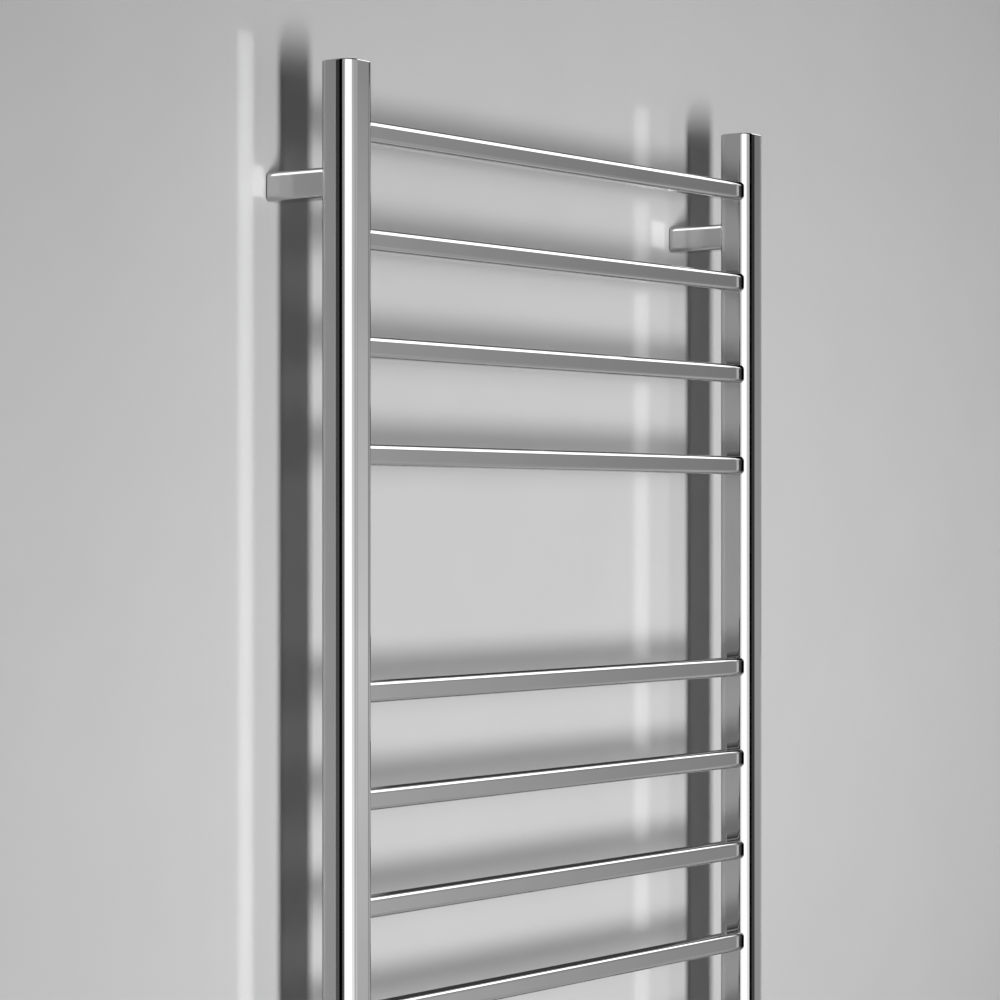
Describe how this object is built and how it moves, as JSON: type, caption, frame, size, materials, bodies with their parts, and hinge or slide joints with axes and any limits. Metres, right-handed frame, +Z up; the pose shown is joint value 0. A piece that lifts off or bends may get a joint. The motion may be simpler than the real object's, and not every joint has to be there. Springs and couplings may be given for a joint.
{
  "type": "towel warmer rack",
  "caption": "Wall-hung electric towel warmer: square cross bars let into soft-cornered square uprights on short square wall standoffs, with a push switch under one upright.",
  "frame": {"origin": "on the wall plane, at the centre of the rectangle of the outer wall screws", "axes": "+X right as seen from the room, +Y into the wall, +Z up along the uprights"},
  "size_m": [0.65, 0.095, 1.0374],
  "materials": {
    "polished_steel": "mirror polished stainless steel",
    "zinc_block": "plain die-cast zinc",
    "screw_steel": "turned stainless steel",
    "black_rubber": "matt moulded rubber",
    "tinned_brass": "tinned",
    "white_plastic": "moulded polyamide",
    "black_plastic": "heat-shrunk sleeve",
    "red_silicone": "extruded silicone",
    "brown_insulation": "extruded insulation",
    "blue_insulation": "extruded insulation",
    "green_insulation": "extruded insulation"
  },
  "bodies": {
    "rack": {"bar_1": "polished_steel", "bar_10": "polished_steel", "bar_2": "polished_steel", "bar_3": "polished_steel", "bar_4": "polished_steel", "bar_5": "polished_steel", "bar_6": "polished_steel", "bar_7": "polished_steel", "bar_8": "polished_steel", "bar_9": "polished_steel", "earth_lead": "green_insulation", "earth_nut": "screw_steel", "earth_screw": "screw_steel", "grub_screws": "screw_steel", "heating_cable": "red_silicone", "left_bottom_cap": "polished_steel", "left_top_cap": "polished_steel", "left_upright": "polished_steel", "live_lead": "brown_insulation", "lower_left_standoff": "polished_steel", "lower_left_wall_fixing": "zinc_block", "lower_right_standoff": "polished_steel", "lower_right_wall_fixing": "zinc_block", "neutral_lead": "blue_insulation", "neutral_splice": "black_plastic", "right_bottom_cap": "polished_steel", "right_top_cap": "polished_steel", "right_upright": "polished_steel", "supply_grommet": "black_rubber", "switch_body": "polished_steel", "switch_nut": "screw_steel", "switch_seal": "black_rubber", "switch_terminals": "tinned_brass", "switched_lead": "brown_insulation", "terminal_block": "white_plastic", "terminal_screws": "tinned_brass", "thermal_cutout": "black_plastic", "upper_left_standoff": "polished_steel", "upper_left_wall_fixing": "zinc_block", "upper_right_standoff": "polished_steel", "upper_right_wall_fixing": "zinc_block"},
    "button": {"switch_button": "polished_steel"}
  },
  "joints": [
    {"name": "switch_press", "type": "slide", "parent": "rack", "child": "button", "axis": [0, 0, 1], "range_m": [0, 0.002], "stiffness_N_per_m": 1500, "springref_m": -0.001}
  ]
}
